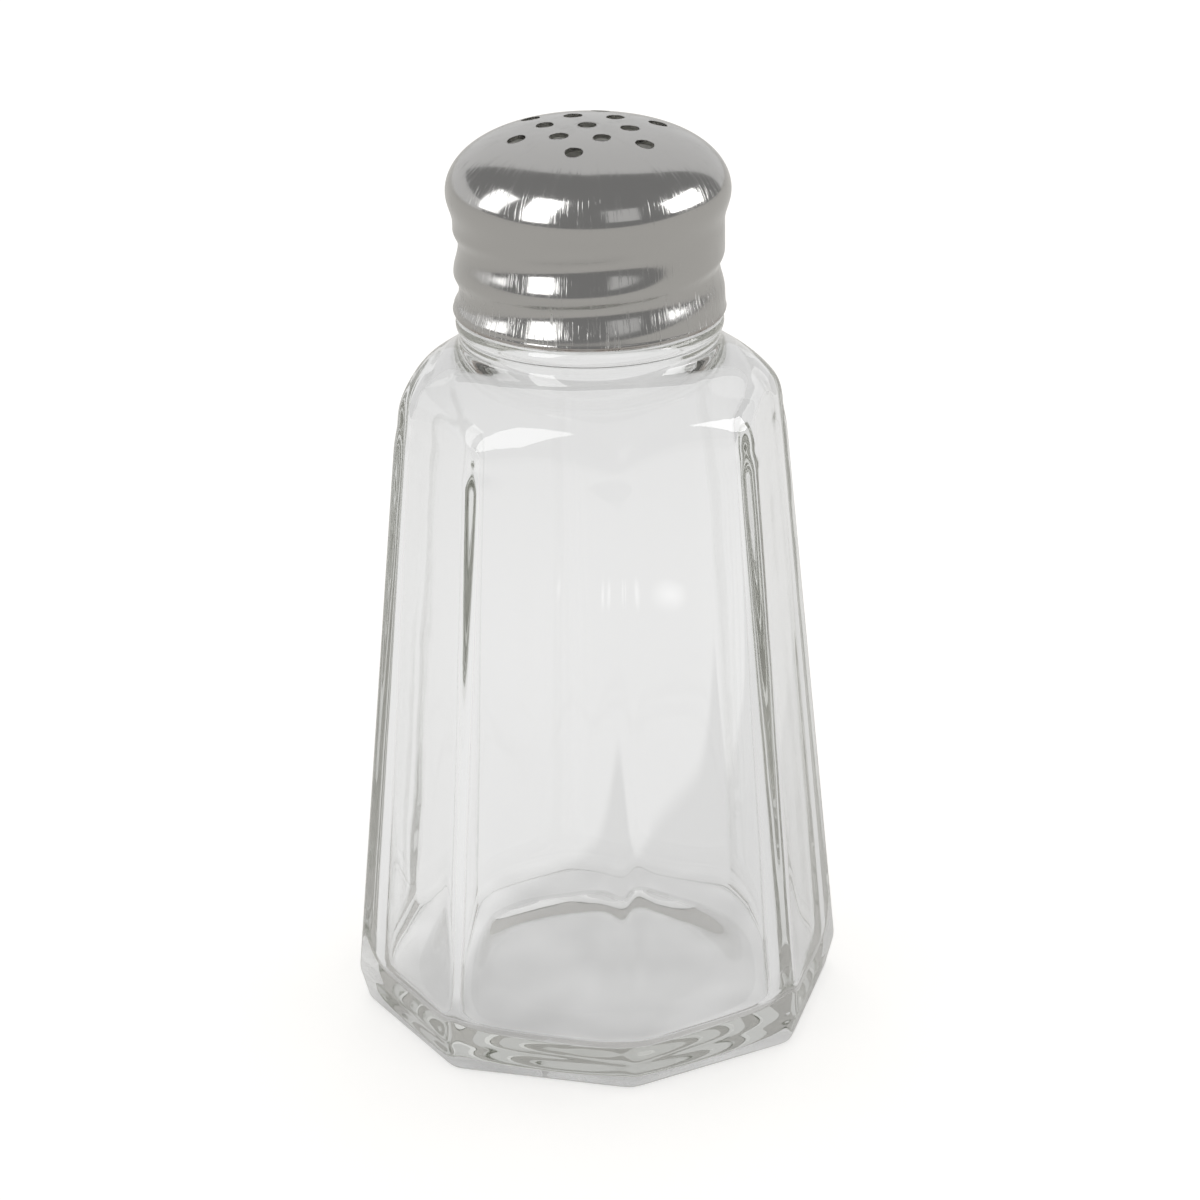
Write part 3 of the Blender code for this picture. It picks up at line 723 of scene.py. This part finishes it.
lift = add_node(punch, "ShaderNodeCombineXYZ", {2: given.outputs["Height"]})
star = add_node(punch, "GeometryNodeTransform", {0: star, "Rotation": spin, "Translation": lift})
tool = add_node(punch, "GeometryNodeMeshCylinder", {
    "Vertices": PUNCH_SIDES, "Radius": given.outputs["Hole radius"], "Depth": PUNCH_LENGTH})
tools = add_node(punch, "GeometryNodeInstanceOnPoints", {"Points": star, "Instance": tool})
tools = add_node(punch, "GeometryNodeRealizeInstances", {0: tools})
print("punches are", round(2 * HOLE_RADIUS / MM, 2), "mm across")

# %% Geometry Nodes: wear the punches and cut the holes
WEAR_SPACING = 1.6 * MM
PUNCH_WEAR = 0.5 * MM           # a fixed noise moves each punch's wall by less than half of this
worn = add_node(punch, "ShaderNodeTexNoise", {"Scale": 1 / WEAR_SPACING, "Detail": 0.0})
shift = add_node(punch, "ShaderNodeVectorMath", {0: worn.outputs["Color"], 1: (0.5, 0.5, 0.5)},
                 operation="SUBTRACT")
shift = add_node(punch, "ShaderNodeVectorMath", {0: shift, 1: (PUNCH_WEAR, PUNCH_WEAR, 0)},
                 operation="MULTIPLY")
tools = add_node(punch, "GeometryNodeSetPosition", {0: tools, "Offset": shift})
cut = add_node(punch, "GeometryNodeMeshBoolean", operation="DIFFERENCE", solver="EXACT")
for slot, solid in enumerate((given.outputs["Geometry"], tools)):
    flat_faces = add_node(punch, "GeometryNodeTriangulate", {0: solid})
    punch.links.new(flat_faces.outputs[0], cut.inputs[slot])
real = add_node(punch, "GeometryNodeRealizeInstances", {0: cut})
painted = add_node(punch, "GeometryNodeSetMaterial", {
    0: real, "Material": given.outputs["Material"]})
add_node(punch, "NodeGroupOutput", {0: painted})
cap = run_tree(cap_blank, punch, {
    spacing_input: HOLE_SPACING, radius_input: HOLE_RADIUS, turn_input: HOLE_TURN,
    height_input: cap_high.z, metal_input: chrome}, "plated_screw_cap")

# %% [markdown]
# ## The studio: white paper under and behind
# A glass and chrome object is mostly a picture of the room around it.  It stands on a wide sheet of
# white paper.  Seen by the camera the paper has to be white and still hold a shadow, in the chrome
# it is a pale grey, and behind the glass it has painted shades of its own: the jar's painted shadow
# around and behind it, paper painted darker far behind, painted mottling where the jar gathers
# light underneath, and two painted spots of light behind it.  Such gathered light takes very long
# to render, so it is drawn on the paper as a glow that only rays through the glass see, and the
# painted shades are taken off that glow.  The Light Path node tells these rays from the others.

# %% A wide floor
FLOOR_REACH = 6.0               # metres
floor_mesh = bpy.data.meshes.new("floor")
floor_corners = [(-1, -1), (1, -1), (1, 1), (-1, 1)]
floor_mesh.from_pydata([(FLOOR_REACH * x, FLOOR_REACH * y, 0) for x, y in floor_corners], [],
                       [(0, 1, 2, 3)])
floor = bpy.data.objects.new("floor", floor_mesh)
bpy.context.scene.collection.objects.link(floor)
paper = bpy.data.materials.new("white_paper_sweep")
paper.use_nodes = True
floor_mesh.materials.append(paper)
print("floor", 2 * FLOOR_REACH, "m wide")

# %% Painted shades on the paper, seen through the glass
LIT_LEVEL = 0.67                # glow of the open paper
SHADE_FADE = 1.5                # a shade has faded out at this many times its reach
away = -direction(CAMERA_AZIMUTH, 0)
# Each shade: heading, dark up to, light from, depth, reach; distances are from the axis, in mm.
SHADES = ((away - 1.6 * across, 29, 40, 0.12, 130),
          (away + 0.7 * across, -30, -6, 0.085, 40),
          (-away, -220, -90, 0.067, 1000))
tree = paper.node_tree
tree.nodes.clear()
place = add_node(tree, "ShaderNodeTexCoord")
from_axis = add_node(tree, "ShaderNodeVectorMath", {0: place.outputs["Object"]}, operation="LENGTH")
through = LIT_LEVEL
# Painted shade, in order: the jar's shadow to its right and behind, its contact shadow in front and
# under it, and the paper painted darker far behind.
for heading, dark_end, light_start, depth, reach in SHADES:
    along = add_node(tree, "ShaderNodeVectorMath", {0: place.outputs["Object"], 1: heading},
                     operation="DOT_PRODUCT")
    shade = add_node(tree, "ShaderNodeMapRange", {
        "Value": along.outputs["Value"], "From Min": dark_end * MM, "From Max": light_start * MM,
        "To Min": depth, "To Max": 0.0}, interpolation_type="SMOOTHSTEP")
    near = add_node(tree, "ShaderNodeMapRange", {
        "Value": from_axis.outputs["Value"], "From Min": reach * MM,
        "From Max": SHADE_FADE * reach * MM, "To Min": 1.0, "To Max": 0.0})
    shade = add_node(tree, "ShaderNodeMath", {0: shade, 1: near}, operation="MULTIPLY")
    through = add_node(tree, "ShaderNodeMath", {0: through, 1: shade}, operation="SUBTRACT")
print(len(SHADES), "shades on the paper")

# %% Painted gathered light on the paper, seen through the glass
MOTTLE_SIZE = 10 * MM
MOTTLE_DEPTH = 0.25
MOTTLE_FULL = 24 * MM           # from the axis
MOTTLE_END = 32 * MM
SPOTS = ((116.0, 3.8, 1.6), (115.5, 10.6, 3.4))     # behind, aside and half width in millimetres
SPOT_LENGTH = 6 * MM
SPOT_GLOW = 0.14
# Painted light: a mottle of gathered light right under the jar, then two painted spots of it
# behind.
under = add_node(tree, "ShaderNodeMapRange", {
    "Value": from_axis.outputs["Value"], "From Min": MOTTLE_FULL, "From Max": MOTTLE_END,
    "To Min": MOTTLE_DEPTH, "To Max": 0.0})
mottle = add_node(tree, "ShaderNodeTexNoise", {
    "Vector": place.outputs["Object"], "Scale": 1 / MOTTLE_SIZE, "Detail": 1.0})
mottle = add_node(tree, "ShaderNodeMath", {0: mottle, 1: 0.5}, operation="SUBTRACT")
through = add_node(tree, "ShaderNodeMath", {0: mottle, 1: under, 2: through},
                   operation="MULTIPLY_ADD")
for behind, aside, width in SPOTS:
    spot = add_node(tree, "ShaderNodeMapping", {
        "Vector": place.outputs["Object"], "Location": (away * behind + across * aside) * MM,
        "Rotation": (0, 0, CAMERA_AZIMUTH), "Scale": (width * MM, SPOT_LENGTH, 1)},
        vector_type="TEXTURE")
    spot = add_node(tree, "ShaderNodeTexGradient", {"Vector": spot}, gradient_type="SPHERICAL")
    through = add_node(tree, "ShaderNodeMath", {0: spot.outputs["Fac"], 1: SPOT_GLOW, 2: through},
                       operation="MULTIPLY_ADD")
print(len(SPOTS), "spots of light on the paper")

# %% White paper: what each kind of ray sees
# To the eye: plain matt white that fades into the background and keeps a soft shadow.
CAMERA_LIFT = 0.6               # glow that makes the paper white in the picture
MIRROR_LIFT = 0.17              # and pale in the chrome
rays = add_node(tree, "ShaderNodeLightPath")
# A ray through glass counts as glossy too, so those are taken off.
mirrored = add_node(tree, "ShaderNodeMath", {
    0: rays.outputs["Is Glossy Ray"], 1: rays.outputs["Is Transmission Ray"]},
    operation="SUBTRACT", use_clamp=True)
through = add_node(tree, "ShaderNodeMath", {0: through, 1: rays.outputs["Is Transmission Ray"]},
                   operation="MULTIPLY")
lift = add_node(tree, "ShaderNodeMath", {
    0: rays.outputs["Is Camera Ray"], 1: CAMERA_LIFT, 2: through}, operation="MULTIPLY_ADD")
lift = add_node(tree, "ShaderNodeMath", {0: mirrored, 1: MIRROR_LIFT, 2: lift},
                operation="MULTIPLY_ADD")
# Through the glass the paper's own colour is darker, and the painted glow stands in for most of its
# light.
tone = add_node(tree, "ShaderNodeMix", {
    "Factor": rays.outputs["Is Transmission Ray"], 6: colour("#C0BEBA"), 7: colour("#808080")},
    data_type="RGBA")
lit = add_node(tree, "ShaderNodeBsdfDiffuse", {"Color": tone.outputs[2]})
glow = add_node(tree, "ShaderNodeEmission", {"Color": colour("#FFFFFF"), "Strength": lift})
both = add_node(tree, "ShaderNodeAddShader", {0: lit, 1: glow})
add_node(tree, "ShaderNodeOutputMaterial", {"Surface": both})
print("made", paper.name)

# %% [markdown]
# ## The studio: background
# Behind the paper's edge is the world.  The camera sees it as pure white, and it lights the object
# evenly from all sides at a lower level, a little lower still for rays through the glass, so that
# the jar stands out from the white.

# %% White background
BACKGROUND_LIGHT = 0.78
BACKGROUND_THROUGH = 0.66
world = bpy.data.worlds.new("studio")
bpy.context.scene.world = world
world.use_nodes = True
tree = world.node_tree
tree.nodes.clear()
rays = add_node(tree, "ShaderNodeLightPath")
level = add_node(tree, "ShaderNodeMapRange", {
    "Value": rays.outputs["Is Transmission Ray"], "To Min": BACKGROUND_LIGHT,
    "To Max": BACKGROUND_THROUGH})
level = add_node(tree, "ShaderNodeMath", {0: rays.outputs["Is Camera Ray"], 1: level},
                 operation="MAXIMUM")
sky = add_node(tree, "ShaderNodeBackground", {"Color": colour("#FFFFFF"), "Strength": level})
add_node(tree, "ShaderNodeOutputWorld", {"Surface": sky})
print("background lights at", BACKGROUND_LIGHT)

# %% [markdown]
# ## The studio: a dim room in front
# Chrome in an all-white room looks flat.  On the real cap, dark bands between bright panes give the
# metal its form, and they are the dim room that the camera stands in.  A few dark boards could
# stand there, but a shell all round gives bands without gaps: it starts at the table's front edge,
# rises on both sides, reaches less far round on the left below a sill, closes overhead, and is open
# to the white at its back.  The camera doesn't see it and it casts no shadow, so it only shows in
# reflections and through the glass.

# %% The shell of the dim room
ROOM_RADIUS = 4.0               # metres
ROOM_LEFT = math.radians(143.0)
ROOM_RIGHT = math.radians(132.0)
LOW_LEFT = math.radians(92.0)   # below the sill the dim wall ends here
SILL = math.radians(18.0)
ROOM_TOP = math.radians(75.0)   # above this height the room closes over the object
ROOM_CORNER = 14                # the opening at the back is nearly square, with rounded corners
TABLE_EDGE = 0.46               # how far the white table reaches in front, in metres
TABLE_END = 0.15                # cosine of the angle at which its straight front edge stops
ROOM_COLUMNS = 65
ROOM_LIFT = 2 * MM              # keeps the shell clear of the paper
shares = np.linspace(0, 1, ROOM_COLUMNS)
room_points = []
for elevation in np.radians(np.concatenate([np.linspace(0, 60, 16), after(60, 90, 30)])):
    closed = min(elevation / ROOM_TOP, 1)**ROOM_CORNER
    left = -ROOM_LEFT - (math.pi - ROOM_LEFT) * closed if elevation > SILL else -LOW_LEFT
    right = ROOM_RIGHT + (math.pi - ROOM_RIGHT) * closed
    bearings = [left + (right - left) * share for share in shares]
    ring = [direction(CAMERA_AZIMUTH + turn, elevation) * ROOM_RADIUS for turn in bearings]
    if not room_points:
        table = [TABLE_EDGE / max(math.cos(turn), TABLE_END) for turn in bearings]
        room_points.append([point * near / ROOM_RADIUS for point, near in zip(ring, table)])
    room_points.append(ring)
room_points = np.array(room_points)
room_points[:, :, 2] += ROOM_LIFT
index = np.arange(room_points.size // 3).reshape(-1, ROOM_COLUMNS)
room_quads = np.stack([index[:-1, :-1], index[:-1, 1:], index[1:, 1:], index[1:, :-1]],
                      axis=-1).reshape(-1, 4)
room_mesh = bpy.data.meshes.new("dim_room")
room_mesh.from_pydata(room_points.reshape(-1, 3), [], room_quads.tolist())
room = bpy.data.objects.new("dim_room", room_mesh)
bpy.context.scene.collection.objects.link(room)
print("room shell", len(room_quads), "faces")

# %% Dim walls
# To the eye: an even mid grey in the chrome, and nearly as light as the paper through the glass.
WALL_MIRRORED = 0.3
WALL_THROUGH = 0.62
dim = bpy.data.materials.new("dim_room_wall")
dim.use_nodes = True
tree = dim.node_tree
tree.nodes.clear()
rays = add_node(tree, "ShaderNodeLightPath")
wall_level = add_node(tree, "ShaderNodeMapRange", {
    "Value": rays.outputs["Is Transmission Ray"], "To Min": WALL_MIRRORED, "To Max": WALL_THROUGH})
wall_glow = add_node(tree, "ShaderNodeEmission", {
    "Color": colour("#FFFFFF"), "Strength": wall_level})
add_node(tree, "ShaderNodeOutputMaterial", {"Surface": wall_glow})
room_mesh.materials.append(dim)
room.visible_camera = False
room.visible_diffuse = False
room.visible_shadow = False
print("made", dim.name)

# %% [markdown]
# ## The studio: windows and lamps
# The bright panes that run round the cap, and the crescents on the jar's shoulder, are windows.
# They are area lamps here, which a mirror shows as sharp bright rectangles.  They light no matt
# surface and aren't seen through the glass, where they would burn out the edges.  A weaker copy of
# the left window is there for that alone.  The softbox overhead and behind does the opposite: it
# lights the paper and casts the soft shadow, and no reflection shows it.

# %% Windows and lamps
LAMP_DISTANCE = 1.2             # metres
OBJECT_MIDDLE = (cad_low + cad_high) / 2


def add_lamp(name, azimuth, elevation, width, height, brightness):
    """Soft rectangular lamp that faces the object; angles are in degrees from the camera."""
    towards = direction(CAMERA_AZIMUTH + math.radians(azimuth), math.radians(elevation))
    data = bpy.data.lights.new(name, "AREA")
    data.shape = "RECTANGLE"
    data.size = 2 * LAMP_DISTANCE * math.tan(math.radians(width / 2))
    data.size_y = 2 * LAMP_DISTANCE * math.tan(math.radians(height / 2))
    data.energy = brightness * math.pi * data.size * data.size_y
    lamp = bpy.data.objects.new(name, data)
    lamp.location = OBJECT_MIDDLE + towards * LAMP_DISTANCE
    lamp.rotation_euler = (-towards).to_track_quat("-Z", "Y").to_euler()
    bpy.context.scene.collection.objects.link(lamp)
    print(name, round(data.energy, 2), "W")
    return lamp


windows = [add_lamp("window_far_left", -86, 26, 22, 40, 2.4),
           add_lamp("window_left", -42, 30, 23, 54, 4.0),
           add_lamp("window_right", 28, 22, 26, 30, 0.42),
           add_lamp("window_far_right", 86, 20, 34, 26, 5.5)]
for window in windows:
    window.visible_diffuse = False
    window.visible_transmission = False
glint = add_lamp("glint_left", -42, 30, 23, 54, 1.5)
glint.visible_diffuse = False
glint.visible_glossy = False
overhead = add_lamp("overhead_softbox", 170, 68, 50, 50, 0.75)
overhead.visible_glossy = False
overhead.visible_transmission = False

# %% [markdown]
# ## Put the pieces on the frame
# The jar stands for the CAD jar and the cap for the CAD cap, and each rides on the same body as the
# node that it replaces, so the cap lifts off with its joint.  A ray can bounce many times inside
# thick glass before it gets out, and one that is cut short turns black, so the limits on bounces
# are high.

# %% Ride, replace and finish
LIGHT_BOUNCES = 64
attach(jar, "jar")
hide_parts("glass_jar")
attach(cap, "cap")
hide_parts("screw_cap")
bpy.context.scene.view_settings.view_transform = "Standard"
for kind in ("max_bounces", "glossy_bounces", "transmission_bounces"):
    setattr(bpy.context.scene.cycles, kind, LIGHT_BOUNCES)
